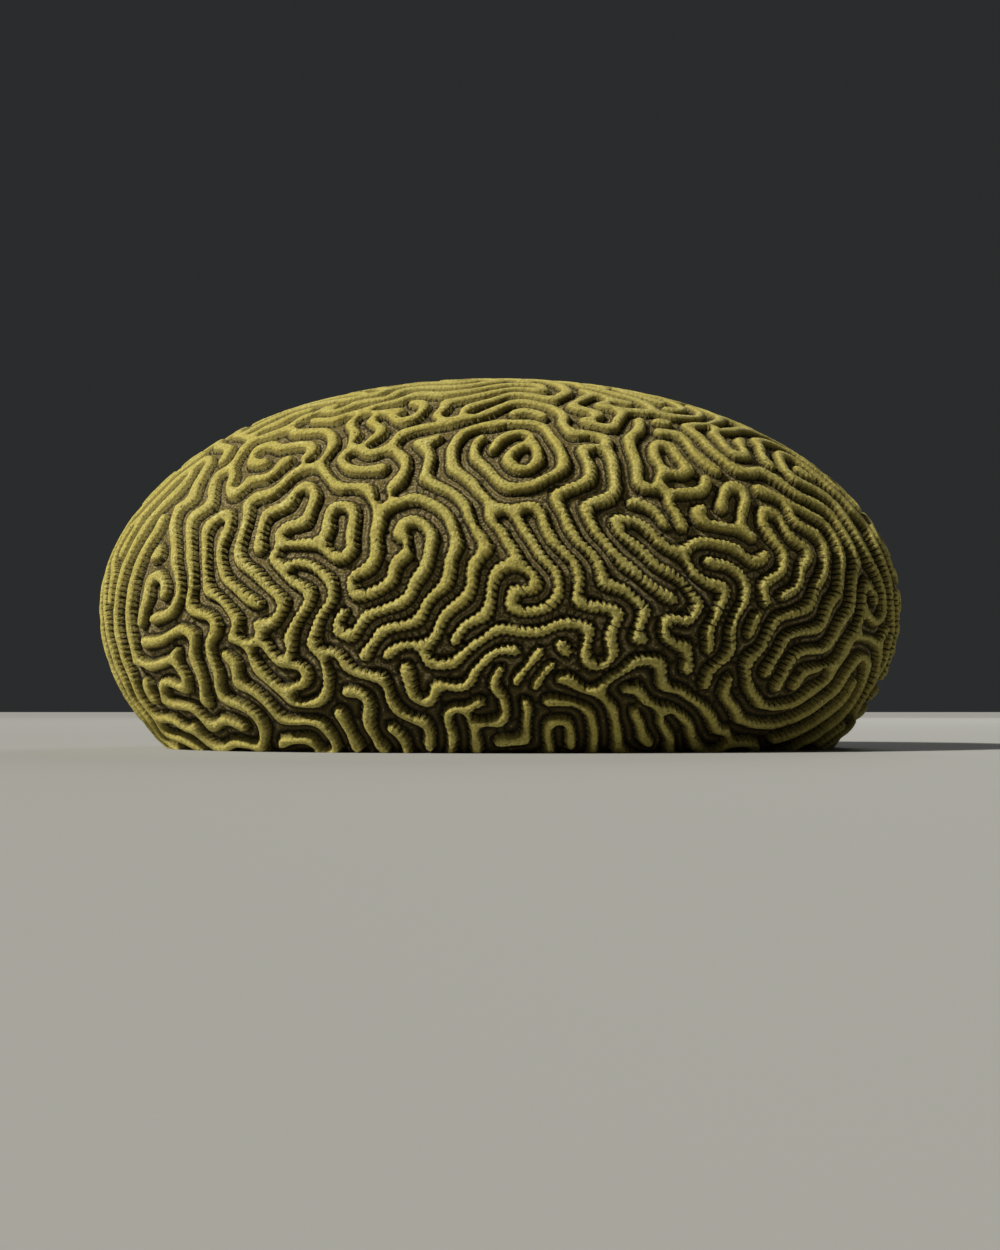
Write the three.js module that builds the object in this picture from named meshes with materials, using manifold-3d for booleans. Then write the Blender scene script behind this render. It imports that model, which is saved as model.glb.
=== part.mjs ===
// A brain coral head: a single massive colony, wider than it is deep, broken from the reef and cut flat underneath.
//
// The solid is the colony's outer envelope, the surface that the crests of its ridges reach. Its form is an ellipsoid
// with a taller lower half than upper half, broad swells where the colony grew unevenly, and a flat cut a little below
// its widest level, on which it stands. Millimetres, +Z up, +X along the length, -Y is the front.

import * as THREE from "three";
import { mergeVertices } from "three/addons/utils/BufferGeometryUtils.js";
import Module from "manifold-3d";

// Driving dimensions
const HALF_LENGTH = 109.8; // along X
const HALF_DEPTH = 70; // along Y
const WIDEST_HEIGHT = 38.4; // of the widest level above the flat cut
const RISE_ABOVE = 62.5; // from the widest level to the crown
const DROP_BELOW = 69; // from the widest level to where the underside would close, had it not been cut

// Broad swells and hollows of the colony: the direction from its middle, how far it spreads, and its height.
const SWELLS = [
  { name: "left shoulder", towards: [-0.58, -0.15, 0.8], spread: 0.3, height: 1.0 },
  { name: "right shoulder", towards: [0.46, -0.1, 0.88], spread: 0.24, height: 0.4 },
  { name: "left flank", towards: [-0.9, -0.3, 0.3], spread: 0.26, height: -0.4 },
  { name: "front brow", towards: [0.12, -0.9, 0.42], spread: 0.3, height: 1.6 },
  { name: "front hollow", towards: [0.52, -0.84, 0.16], spread: 0.2, height: -1.2 },
  { name: "back lobe", towards: [-0.35, 0.9, 0.25], spread: 0.34, height: 2.4 },
  { name: "back hollow", towards: [0.4, 0.85, 0.3], spread: 0.24, height: -1.8 },
];

// Mesh fineness: each of the 20 faces of the starting icosahedron is divided into (FINENESS + 1) squared triangles.
const FINENESS = 17;
const CUT_BLOCK = 400; // side of the block that keeps what lies above the cut

const CORAL_COLOUR = 0xada15f;

// How much further out than the plain ellipsoid the envelope lies in a unit direction, as a share of the radius.
function swell(direction) {
  return SWELLS.reduce((sum, { towards, spread, height }) => {
    const middle = new THREE.Vector3(...towards).normalize();
    const away = direction.distanceTo(middle) / spread;
    return sum + (height / HALF_DEPTH) * Math.exp(-0.5 * away * away);
  }, 0);
}

function envelopePoint(direction) {
  const upright = direction.z >= 0 ? RISE_ABOVE : DROP_BELOW;
  return direction
    .clone()
    .multiply(new THREE.Vector3(HALF_LENGTH, HALF_DEPTH, upright))
    .multiplyScalar(1 + swell(direction))
    .add(new THREE.Vector3(0, 0, WIDEST_HEIGHT));
}

// The whole colony as it would be with its underside closed.
function closedColony() {
  const geometry = new THREE.IcosahedronGeometry(1, FINENESS);
  const position = geometry.getAttribute("position");
  for (let i = 0; i < position.count; i++) {
    const direction = new THREE.Vector3().fromBufferAttribute(position, i).normalize();
    position.setXYZ(i, ...envelopePoint(direction).toArray());
  }
  return geometry;
}

function blockAboveCut() {
  return new THREE.BoxGeometry(CUT_BLOCK, CUT_BLOCK, CUT_BLOCK).translate(0, 0, CUT_BLOCK / 2);
}

function toSolid(wasm, geometry) {
  geometry.deleteAttribute("normal");
  geometry.deleteAttribute("uv");
  const merged = mergeVertices(geometry, 1e-3);
  return new wasm.Manifold(
    new wasm.Mesh({
      numProp: 3,
      vertProperties: merged.getAttribute("position").array,
      triVerts: new Uint32Array(merged.index.array),
    }),
  );
}

function toGeometry(solid) {
  const { vertProperties, triVerts } = solid.getMesh();
  return new THREE.BufferGeometry()
    .setAttribute("position", new THREE.BufferAttribute(new Float32Array(vertProperties), 3))
    .setIndex(new THREE.BufferAttribute(new Uint32Array(triVerts), 1));
}

// Puts the origin on the cut, under the middle of the envelope's length and depth.
function centred(geometry) {
  geometry.computeBoundingBox();
  const middle = geometry.boundingBox.getCenter(new THREE.Vector3());
  return geometry.translate(-middle.x, -middle.y, 0);
}

const wasm = await Module();
wasm.setup();

const cutColony = toSolid(wasm, closedColony()).intersect(toSolid(wasm, blockAboveCut()));
const colonyGeometry = centred(toGeometry(cutColony));
colonyGeometry.computeVertexNormals();

const colony = new THREE.Mesh(
  colonyGeometry,
  new THREE.MeshStandardMaterial({ color: CORAL_COLOUR, roughness: 0.8, metalness: 0 }),
);
colony.name = "coral_head";

const coral = new THREE.Group();
coral.add(colony);

export default coral;
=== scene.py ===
"""A brain coral head: a domed colony, cut flat underneath, covered in winding ridges that fine septa cross.

The ridges grow on the colony's outer envelope. A wave of one spacing settles over the whole dome, pulled in
front by drawn ridges and left free elsewhere, and its outlines become the feet of the ridges. Rows of
points follow each outline: the foot in its crevice, the shoulder, the upper side and the crest of the ridge,
and the bank and the middle of the valley. Each second column of points across a ridge is a septum, one of
the thin plates that cross it, and stands proud. The column between two septa is a slit, cut in as far as the
place and the side of the ridge allow. All the points are joined in one closed skin, which is trimmed at the
cut. Lengths are in millimetres until the skin is made, and in metres from there on.
"""

import math

import bmesh
import bpy
import numpy as np
from bpy.props import FloatProperty, FloatVectorProperty, IntProperty, PointerProperty
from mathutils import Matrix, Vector
from mathutils.geometry import delaunay_2d_cdt
from mathutils.kdtree import KDTree


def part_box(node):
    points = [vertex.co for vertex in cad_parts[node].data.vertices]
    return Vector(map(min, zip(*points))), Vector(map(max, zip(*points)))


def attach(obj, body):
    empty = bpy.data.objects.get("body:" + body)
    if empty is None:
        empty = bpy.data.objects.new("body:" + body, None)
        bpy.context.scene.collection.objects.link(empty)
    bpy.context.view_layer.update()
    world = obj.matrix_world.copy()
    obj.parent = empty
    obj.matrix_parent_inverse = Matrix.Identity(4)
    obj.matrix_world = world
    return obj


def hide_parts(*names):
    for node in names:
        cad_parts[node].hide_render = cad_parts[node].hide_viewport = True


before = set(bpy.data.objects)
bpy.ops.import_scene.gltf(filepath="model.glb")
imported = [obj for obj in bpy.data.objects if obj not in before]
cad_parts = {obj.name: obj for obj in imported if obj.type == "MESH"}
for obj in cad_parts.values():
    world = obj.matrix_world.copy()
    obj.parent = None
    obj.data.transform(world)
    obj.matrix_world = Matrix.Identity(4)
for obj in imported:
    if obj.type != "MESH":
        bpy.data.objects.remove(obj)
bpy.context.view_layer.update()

bl_info = {
    "name": "Brain Coral Head",
    "version": (1, 0, 0),
    "blender": (4, 5, 0),
    "location": "3D View > Sidebar > Coral",
    "description": "Grows a brain coral head over its outer envelope and stages it",
    "category": "Add Mesh",
}

NODE = "coral_head"
BODY = "root"

MM = 0.001

# The colony's outer envelope, which the crests of the ridges reach: an ellipsoid with swells and hollows.
HALF_LENGTH = 109.8
HALF_DEPTH = 70.0
WIDEST_HEIGHT = 38.4
RISE_ABOVE = 62.5
DROP_BELOW = 69.0
MIDDLE = np.array([0.0, 0.0, WIDEST_HEIGHT])

# Each swell: the direction from the middle, how far it spreads, and its height.
SWELLS = (
    ((-0.58, -0.15, 0.80), 0.30, 1.0),  # left shoulder
    ((0.46, -0.10, 0.88), 0.24, 0.4),  # right shoulder
    ((-0.90, -0.30, 0.30), 0.26, -0.4),  # left flank
    ((0.12, -0.90, 0.42), 0.30, 1.6),  # front brow
    ((0.52, -0.84, 0.16), 0.20, -1.2),  # front hollow
    ((-0.35, 0.90, 0.25), 0.34, 2.4),  # back lobe
    ((0.40, 0.85, 0.30), 0.24, -1.8),  # back hollow
)

# The wave that becomes the ridges.
SPHERE_FINENESS = 8  # subdivisions of the sphere of directions that it grows on
SPREAD_STEP = 0.06  # square millimetres that each smoothing step spreads a value over
SPACING_PER_SPREAD = 6.54  # the spacing that a wave settles to, over the width of its narrower blur
WIDER_BLUR = 3.0  # square of the width that the wider blur adds, over that of the narrower
LAST_BLUR = 0.3  # and of the width that smooths the finished wave
GROWTH_ROUNDS = 40
FREE_ROUNDS = 3  # the last rounds, in which the drawn ridges no longer pull on the wave
GROWTH_GAIN = 4.5
DRAWN_PULL = 1.3
FREE_HEIGHT = 0.5  # height of the wave where no ridge is drawn, before it grows
FREE_NOISE = 0.3  # and how uneven it is
WANDER_WAVES = 24
WANDER_LENGTHS = (70.0, 150.0)  # shortest and longest of the waves that turn the ridges that aren't drawn
WANDER_SLOPE = 0.26  # how high those waves are, over the longest of their lengths
BEND_LENGTHS = (17.0, 30.0)  # shortest and longest of the waves that bend the same ridges to and fro
BEND = 3.4  # how far they bend them

# How a drawn ridge pulls on the wave, in spacings where nothing else is said.
PULL_REACH = 0.75  # how far to its side
NEXT_REACH = 1.2  # how far off the next drawn ridge is looked for
LEAST_PITCH = 0.7  # the closest that two drawn ridges are taken to be
END_FADE = 2.0  # millimetres past its end over which the pull fades out
DRAWN_BACK = 40.0  # millimetres behind the middle that no drawn ridge reaches
DRAWN_STEP = 0.5  # millimetres between the points laid along it
FOLD_STEPS = 16  # steps further on along it that count as another ridge
RIDGE_MARK = 1000  # more than the steps along any of them

# Where the colony is rugged: low down, a little more to the right, and in patches.
RUGGED_LOW = 1.1
RUGGED_RIGHT = 0.12
RUGGED_PATCHES = 0.2
RUGGED_LENGTHS = (40.0, 90.0)  # shortest and longest of the waves that make the patches

# Where the slits are strong: at the widest level, to the right, on one side of a ridge, and in patches.
SLIT_BASE = 0.87
SLIT_RIGHT = 0.42
SLIT_SIDE = 0.35
SLIT_PATCHES = 0.3
SLIT_LENGTHS = (25.0, 60.0)  # shortest and longest of the waves that make the patches
LEAST_SLIT = 0.08
STRONG_SIDE = np.array([0.8, 0.0, 0.6])  # the way that the side of a ridge with the stronger slits faces

# The outlines of the ridges.
OUTLINE_EASING = 8  # times that an outline is smoothed
WIDTH_EASING = 3  # and the widths along it
SHORTEST_OUTLINE = 12.0  # a ridge or a hollow with less outline than this is left out
WIDEST_HALF = 3.0  # the most that a foot is taken to lie from the middle of its ridge or valley
OWN_REACH = 1.1  # points of an outline within this reach of one another are on the same side of a ridge
FACING = 0.025  # a point counts as across the ridge, or the valley, when it lies this far to that side

# Rows of points across a ridge. A share is measured from the foot, 0, to the crest, 1.
SHOULDER_SHARE = 0.22
UPPER_SHARE = 0.54
BANK_SHARE = 0.45  # of the way from the foot to the middle of the valley
ROUNDNESS = 2.6  # exponent of the ridge's section: 2 is an ellipse, and more is squarer
SWAY = 0.10  # how unevenly the septa are spaced
UNEVEN = 0.24  # how far the sides of the ridges stray in and out
CREST_UNEVEN = 0.10  # how far the crest's points lie below the envelope at most
BANK_UNEVEN = 0.08
FLOOR_UNEVEN = 0.12
FLOOR_RISE = 0.15  # how far the middle of a valley lies above the banks beside it

# Septa stand out from a ridge, and the slits between them cut into it.
STAND_RANGE = (0.3, 1.0)  # how proud septa are, where slits are strongest
BITE_RANGE = (0.6, 1.0)  # how long slits are, in the same places
SEPTUM_OUT = 0.14  # how far the proudest septum stands out from the shoulder
SEPTUM_UP = 0.10  # and above it
UPPER_STAND = 0.8  # and above the upper side, over what it stands above the shoulder
SLIT_DEPTH = 0.42  # how deep the longest slit cuts into the shoulder
UPPER_SLIT = 0.7  # and into the upper side, over that
SLIT_LEAN = 1.1  # how far a slit leans along the ridge, over how far it runs across
LEAN_TOWARDS = np.array([0.8, 0.0, -0.6])  # the way that the slits lean, all over the colony
FOOT_CUT = 0.15  # how far the longest slit moves the ridge's foot in
SHOULDER_CUT = 0.06  # and its shoulder
REACH_FROM = 0.4375  # slits with less bite than this end below the upper side
REACH_GAIN = 1.6
REACH_MOST = 0.8

# What is stored for the material. Rise is 0 in a crevice and 1 on a crest, and septum is 1 on a proud one.
# The material paints shade where rise is low and in the slits, and a highlight on the septa's edges.
SHOULDER_RISE = 0.82
SHOULDER_SLIT_SHADE = 0.12  # how much less it is in the longest slit, which paints shade there
UPPER_RISE = 0.94
# Less rise in the slits up here too, which paints shade in them.
UPPER_SLIT_SHADE = 0.04
VALLEY_RISE = -0.42  # in the middle of a smooth valley
BANK_SHADE = 0.8  # how much nearer a bank is to 0 where the colony is rugged, which paints it darker as shade
FLOOR_SHADE = 0.65  # and the middle of a valley, painted darker as shade the same way
PLAIN_EDGE = 0.6  # septum on one that isn't proud, which takes little of the septa's painted highlight
BETWEEN_SEPTA = 0.4  # and between two of them, above the end of the slit, which paints a little shade there

# The closest that the points of a row may lie to one another, and to those of the rows before.
SIDE_GAP = 0.42  # over the columns' spacing
UPPER_GAP = 0.3
CREST_GAPS = (1.0, 0.5)
BANK_GAPS = (0.9, 0.32)
VALLEY_GAPS = (1.2, 0.5)

# The cut underneath.
BELOW_CUT = 2.5  # how far the ridges are followed below the cut, before the skin is trimmed there
SLIVER = 0.002  # an edge at the cut that is shorter than this is taken out

# The map for baking, in which the dome lies above the cut face. Each is laid out with so many millimetres
# across the whole map, around its own middle.
DOME_MAP = 390.0
DOME_MAP_MIDDLE = (0.5, 0.62)
CUT_MAP = 560.0
CUT_MAP_MIDDLE = (0.22, 0.13)

# Drawn ridges. Each is a run of places, across and up, on the upright plane through the colony's
# middle, and lies on the colony where the eye in front sees that place.
EYE = np.array([0.0, -412.5, 9.9])
SIGHT_FROM = 1.2 * HALF_DEPTH  # a line of sight is followed from this far in front of the plane
SIGHT_STEPS = 400  # steps along it, each half of the way that is left
SIGHT_NEAR = 0.05  # a line that ends as near as this has met the envelope
DRAWN_RIDGES = (
    # around the middle
    ((-12.5, 28.5), (-10.5, 33), (-7, 34.5), (-3.5, 35.5), (-2.5, 39), (-2.5, 46), (-1, 49.5), (3, 51),
     (7, 50), (10.5, 47.5), (11.5, 45), (9.5, 43), (6, 43), (3.5, 44), (2.5, 41.5), (3, 39), (5.5, 37.5),
     (10, 37.5), (14, 38.5), (16.5, 41.5), (17.5, 45.5), (16.5, 48.5), (14, 51), (11.5, 53.5), (9.5, 56.5),
     (7, 60), (5.5, 63), (2, 65.5)),
    ((-20.5, 83.5), (-19, 81), (-20.5, 78.5), (-21.5, 76), (-19.5, 73.5), (-15, 72), (-11.5, 70),
     (-9.5, 67), (-8.5, 63), (-5, 59.5), (-2.5, 56.5), (-4, 54), (-6.5, 52), (-7.5, 49), (-7, 45.5),
     (-8.5, 42), (-11, 40), (-15, 38), (-16.5, 35), (-17, 32), (-18.5, 30)),
    ((-29.5, 67), (-28, 69), (-24, 70), (-20, 69.5), (-16.5, 67), (-13.5, 64), (-12, 60), (-12, 57),
     (-14, 53.5), (-14, 49.5), (-14, 46), (-15, 44), (-18.5, 43), (-20.5, 40.5), (-21.5, 37),
     (-22.5, 33.5)),
    ((-28.5, 62.5), (-24, 63.5), (-20.5, 62), (-18.5, 58.5), (-19.5, 54), (-20.5, 50.5), (-22.5, 47.5),
     (-25, 45.5)),
    ((-4, 65.5), (-1.5, 62.5), (1, 59.5), (3.5, 56.5), (5.5, 53.5), (7.5, 50.5)),
    ((13, 66), (12, 62.5), (14, 58.5), (17, 55.5), (20, 53), (21.5, 49.5), (21.5, 45.5), (21, 41.5),
     (20.5, 39.5), (24, 38.5), (29, 39), (32.5, 38.5), (34.5, 36.5), (32.5, 34.5), (31, 32), (30.5, 29),
     (31.5, 27), (33, 26)),
    # on the crown
    ((-3, 83), (-1, 85.5), (3, 88), (7, 89), (10.5, 87.5), (8.5, 86), (5, 84.5), (2.5, 82.5), (2.5, 79.5),
     (5, 77.5), (8, 77), (10.5, 79), (11, 82), (10.5, 84.5)),
    ((-4, 87.5), (-7, 85.5), (-7.5, 82.5), (-5.5, 79.5), (-2.5, 76.5), (0.5, 73.5), (5, 73), (9.5, 74),
     (13, 75.5), (17, 77), (18.5, 80), (17.5, 83), (15.5, 84)),
    ((11.5, 67), (8, 67.5), (3, 67), (-2, 67), (-4, 69), (-6, 72.5), (-8.5, 75.5), (-12, 77), (-13.5, 79),
     (-13.5, 83), (-11.5, 86), (-9, 89), (-4, 90.5), (3, 91), (9, 91), (13, 89.5), (15, 86.5), (16, 84.5)),
    # below the middle
    ((-2, 32.5), (3, 32), (8, 31.5), (12, 32), (16, 34), (20, 34.5), (24, 34.5), (26, 32.5), (24.5, 29.5),
     (23.5, 26.5), (24, 23.5), (27, 22), (30, 22), (31.5, 24), (33, 26)),
    ((-3, 30.5), (-6, 29), (-8, 27), (-10.5, 24.5), (-13, 22.5), (-14, 21.5), (-16.5, 21.5), (-19, 23),
     (-21, 24.5)),
    ((-0.5, 27), (-2.5, 26), (-4, 24.5), (-5.5, 22), (-7.5, 20), (-7.5, 18.5)),
    ((1.5, 27), (5, 27), (5.5, 25.5)),
    ((1.5, 22.5), (-0.5, 21), (-2, 18.5), (-2.5, 16.5), (-2, 15.5)),
    ((0, 15), (1.5, 12), (1.5, 10)),
    ((11.5, 27), (10, 24), (8, 22), (5.5, 19.5), (4.5, 17.5), (4, 16)),
    ((16, 29), (18.5, 27.5), (19.5, 25)),
    ((15, 23.5), (13, 21.5), (11, 19.5), (10, 17.5), (9.5, 15.5)),
    ((16, 18.5), (19, 18.5), (21.5, 17.5), (20.5, 15.5)),
    ((-24, 28), (-20, 28)),
    ((-16.5, 18), (-14, 16.5), (-11.5, 15.5), (-9.5, 15.5)),
    ((-5.5, 13), (-4.5, 11.5), (-7.5, 10.5), (-10.5, 10.5), (-13.5, 10.5), (-15, 9.5), (-15, 8),
     (-14, 5.5), (-13.5, 2.5), (-13.5, -0.5)),
    ((-9.5, 7.5), (-7.5, 6), (-7, 3.5), (-6.5, -0.5)),
    ((-5.5, 6.5), (-4, 7), (-2, 5.5), (0.5, 6), (2, 7.5), (3, 9)),
    ((6.5, 13), (8, 11), (7, 9), (7, 6.5), (7.5, 4.5), (7.5, 2.5)),
    ((2.5, 1.5), (5, 1), (8, 1)),
    ((12.5, 12.5), (14, 12), (17.5, 11.5), (20.5, 12), (23.5, 11), (25.5, 9), (26, 6), (26, 2),
     (25.5, -1)),
    ((20, 7.5), (18.5, 7), (15, 7), (13, 5.5), (13, 3.5), (14, 0.5)),
    ((19.5, 3.5), (20, -0.5)),
    # left of the middle
    ((-62.5, 60), (-62, 56.5), (-63, 53), (-61.5, 49), (-58.5, 46), (-54.5, 45), (-52, 43.5),
     (-52.5, 40.5), (-55.5, 37), (-57, 34), (-59, 31), (-58.5, 27.5), (-59, 25)),
    ((-59, 51.5), (-55, 51.5), (-51.5, 50.5), (-48.5, 48), (-46.5, 45), (-46, 42), (-48, 39.5), (-50, 37),
     (-51.5, 33.5), (-52, 30), (-52.5, 26.5)),
    ((-61.5, 57), (-58, 57), (-54.5, 56.5), (-50.5, 56.5), (-48.5, 54), (-46, 52), (-43, 52.5), (-41, 55),
     (-41.5, 58.5), (-41, 62), (-40.5, 65.5), (-41.5, 68), (-44, 68.5), (-47, 67.5), (-48.5, 65),
     (-48.5, 60), (-50, 57)),
    ((-68, 70.5), (-65, 70.5), (-62, 72.5), (-59.5, 75), (-57, 77.5), (-54, 78.5), (-51, 79.5), (-49, 78),
     (-47.5, 76), (-46.5, 73.5), (-43.5, 72), (-40.5, 73), (-37.5, 73), (-36, 71.5), (-35, 69), (-35, 65),
     (-35, 61), (-35, 57), (-34.5, 52.5), (-37, 49.5), (-41, 48), (-42.5, 45), (-41, 41.5), (-36.5, 42),
     (-32, 44.5), (-29, 46.5), (-30, 50), (-28.5, 53), (-25, 54.5)),
    ((-43, 38), (-45.5, 35), (-46, 32), (-43.5, 30.5), (-41, 30), (-39.5, 33), (-38.5, 36), (-35, 37.5),
     (-30, 38.5), (-26, 41), (-23.5, 43.5)),
    ((-23, 35), (-28, 33), (-32.5, 33), (-35, 29.5), (-36.5, 26.5), (-38.5, 23.5)),
    ((-22, 28.5), (-26, 28.5), (-29.5, 27.5), (-32, 25.5)),
    ((-68, 48), (-64.5, 44.5), (-61, 41.5), (-60, 38.5), (-61, 36), (-64, 33.5), (-68, 33.5)),
    ((-67, 30), (-65, 27), (-62.5, 24), (-59, 22.5), (-55, 21.5), (-53, 21.5), (-53, 18.5), (-55, 17),
     (-58, 15.5)),
    ((-68.5, 24), (-68, 21.5), (-65, 18.5), (-62, 16), (-59.5, 13.5), (-58.5, 12), (-55, 11), (-52, 11),
     (-49.5, 12.5), (-48, 13.5), (-48.5, 16.5), (-48.5, 20), (-49.5, 24), (-49.5, 26.5)),
    ((-68, 15), (-65, 12), (-62, 8.5), (-59.5, 6), (-56, 6.5), (-52.5, 7), (-50, 6.5), (-48, 4),
     (-46, 1.5)),
    ((-67.5, 8), (-66, 5), (-65.5, 2.5)),
    ((-58.5, 1.5), (-56, 2), (-53.5, 2), (-52, 1)),
    ((-45.5, 9), (-44, 6.5), (-42.5, 4), (-40.5, 1), (-39.5, -1)),
    ((-46.5, 27), (-44, 24), (-42, 21), (-39.5, 20), (-36, 18.5), (-32.5, 18.5), (-31.5, 16), (-31, 13.5),
     (-29.5, 11), (-28, 9.5)),
    ((-42, 15.5), (-39, 15.5), (-36.5, 14), (-36.5, 11), (-36.5, 8), (-37, 6), (-35.5, 3.5), (-34, 1),
     (-32, -1)),
    ((-26, 23), (-26.5, 20), (-25.5, 17), (-25, 14.5), (-24, 13.5), (-22, 11.5), (-20, 11), (-18, 12),
     (-18, 14), (-18.5, 16)),
    ((-29.5, 3.5), (-27.5, 2), (-26, -0.5)),
    ((-23, 7.5), (-21, 7), (-19.5, 5.5), (-19, 3), (-19.5, -0.5)),
    # on the left shoulder
    ((-67, 57.5), (-66.5, 62.5), (-65.5, 65.5), (-61.5, 67), (-58.5, 69), (-56.5, 72.5), (-54.5, 74),
     (-52.5, 73), (-52, 70.5), (-52.5, 67), (-53.5, 63.5), (-56, 61.5), (-60, 61.5), (-61.5, 59)),
    ((-58, 90), (-57.5, 88), (-54, 88.5), (-50, 89), (-47.5, 88.5), (-46.5, 86), (-47.5, 83.5), (-49, 81)),
    ((-66, 79.5), (-69, 79.5), (-70, 81.5), (-68.5, 83.5), (-66, 84.5), (-63, 85), (-61.5, 83.5),
     (-58, 84.5), (-54, 85), (-51.5, 83.5), (-53, 81.5), (-55.5, 80.5)),
    ((-51.5, 91.7), (-46.5, 91.5), (-43, 93), (-40, 94), (-36.5, 95), (-33, 96), (-30, 96.8), (-28, 97.2),
     (-26, 98), (-24, 98.8), (-20, 99.1), (-17, 98.9), (-13, 99.1), (-10, 99.6), (-6, 100.2), (-2, 101),
     (3, 101.6), (8, 101.5), (12, 101.3)),
    ((-26.5, 94.2), (-29, 94.6), (-33, 94.6), (-36, 94), (-39, 93), (-41.5, 91.8), (-41.5, 89.5),
     (-40.5, 87), (-41.5, 85), (-42.5, 83), (-45, 81.5), (-44.5, 79.5), (-42, 78), (-39, 77.5), (-35, 78),
     (-32, 79)),
    ((-24.8, 96.6), (-23, 96.9), (-21.5, 96.3), (-21, 95.2), (-22.2, 93.8), (-24, 92.3), (-26, 91.5),
     (-28.2, 91.3), (-29.5, 92.3), (-31, 93.3), (-33.5, 93.3), (-35.5, 92.8), (-37, 91.5), (-33.5, 90.5),
     (-32.5, 89.5), (-34, 87), (-37.5, 85.5), (-39.5, 83.5), (-37.5, 82), (-34.5, 82.5), (-32.5, 84)),
    ((31, 85.5), (28, 87.5), (24, 88), (20, 88), (17.8, 89.6), (17.3, 91.3), (18.3, 92.8), (16.5, 94.4),
     (13, 95.6), (10, 96.6), (7, 97.2), (4, 97.1), (1, 96), (-2, 94.7), (-5, 93.4), (-8, 92.2),
     (-11.5, 91.3), (-15, 90.8), (-18.5, 90.4), (-22, 89.8), (-27, 88.6), (-30, 86), (-29.5, 83),
     (-26.5, 81), (-26, 78), (-28, 75), (-31, 71.5), (-32, 67), (-32.5, 61.5)),
    ((-29.5, 59.5), (-25, 58.5)),
    # on the left flank
    ((-66, 71), (-69.5, 70), (-71, 67), (-71, 63), (-72.5, 58.5), (-74, 55.5), (-72.5, 51.5),
     (-69.5, 49.5)),
    ((-83, 59), (-82, 62), (-78.5, 64.5), (-76, 66), (-75, 63.5), (-76, 60), (-78, 56.5), (-79, 53),
     (-78, 48.5), (-76, 45.5), (-73.5, 43), (-70.5, 41), (-67.5, 40)),
    ((-76, 78.5), (-78.5, 76), (-80, 72), (-80.5, 67.5), (-84, 65.5), (-87, 63), (-87, 60), (-86, 56),
     (-87, 53), (-86, 50), (-86, 47), (-86, 44), (-87, 41), (-87.5, 38.5), (-86, 37), (-83, 37),
     (-80.5, 37), (-79, 34.5), (-79, 32), (-81, 29.5), (-81.5, 27), (-80.5, 24.5), (-79.5, 22.5),
     (-78.5, 19.5), (-79, 16), (-77, 13), (-73, 11.5), (-69.5, 9.5)),
    ((-81.5, 79), (-84, 76), (-85.5, 72), (-86.5, 69.5), (-90, 66.5), (-91.5, 63.5), (-91, 59.5),
     (-90.5, 56), (-90.5, 50), (-89, 46), (-89, 43), (-90, 40.5), (-91.5, 38.5), (-92.5, 36.5),
     (-95, 35.5), (-97.5, 35.5)),
    ((-58.5, 81), (-61, 80), (-63, 77), (-65, 75), (-69.5, 75.5), (-71.5, 73.5), (-73, 71), (-75.5, 70.5),
     (-76, 73), (-75.5, 76.5), (-74, 79.5), (-72.5, 82.5), (-70.5, 85)),
    ((-82.5, 55), (-82, 50), (-82, 46), (-82, 42), (-79.5, 43), (-78, 41.5), (-76.5, 39), (-74.5, 37),
     (-73.5, 35), (-74, 32), (-75.5, 29), (-72, 28.5), (-69, 29), (-66, 29.5)),
    ((-83, 82), (-91, 76), (-98, 69), (-103.5, 62.5), (-107, 56), (-109.5, 50), (-110, 44), (-110, 38),
     (-109, 30), (-106.5, 22), (-102, 13)),
    ((-87, 75), (-93, 69), (-98.5, 62.5), (-102, 57), (-105, 50), (-106.5, 44), (-107, 38), (-106.5, 31),
     (-104.5, 24), (-101, 16)),
    ((-95.5, 61), (-98.5, 56), (-101.5, 50), (-103, 44), (-103.5, 38), (-103, 32), (-101.5, 26)),
    ((-100, 33.5), (-99.5, 37), (-98.5, 40.5), (-98, 44), (-97, 47), (-95.5, 48), (-93.5, 46), (-93, 43.5),
     (-93.5, 41.5)),
    ((-99.5, 29), (-96.5, 29), (-94, 29), (-92, 31), (-89.5, 32.5), (-86.5, 32), (-84.5, 30.5),
     (-85.5, 28), (-85.5, 25.5), (-84.5, 22.5), (-83, 19.5), (-82.5, 17)),
    ((-90.5, 27), (-91, 25.5), (-91, 23.5), (-90, 21.5), (-88, 19.5), (-87, 17)),
    ((-98.5, 22.5), (-97, 21.5), (-94.5, 22), (-92.5, 24.5)),
    ((-94.5, 18), (-92.5, 18), (-90.5, 17), (-88.5, 15.5), (-86.5, 14)),
    ((-98.5, 18), (-98.5, 15.5), (-97, 14)),
    ((-93.5, 15), (-93.5, 12), (-92, 11.5), (-89, 11.5), (-86, 11)),
    ((-94, 7), (-91.5, 7.5), (-89.5, 6.5), (-88, 5)),
    ((-78, 26), (-75.5, 24.5), (-73, 24), (-73.5, 21.5), (-74, 19.5), (-73, 17), (-70, 15.5),
     (-67.5, 14.5)),
    ((-70, 26.5), (-68.5, 23.5), (-66.5, 21.5)),
    # right of the middle
    ((16.5, 66.5), (15, 69), (15.5, 71.5), (18.5, 73), (22, 73), (25.5, 74.5), (26, 77), (25, 79.5),
     (23.5, 81.5), (23, 83.5), (25, 84.5), (29, 84.5), (31.5, 82.5), (32, 79), (32, 75), (33, 72),
     (31, 70), (27, 69), (24.5, 68.5), (24, 66), (25, 63), (27, 59.5), (30, 56.5), (33.5, 52.5),
     (37, 49.5), (40.5, 46.5), (44, 44), (48, 41.5), (50, 40)),
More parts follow.
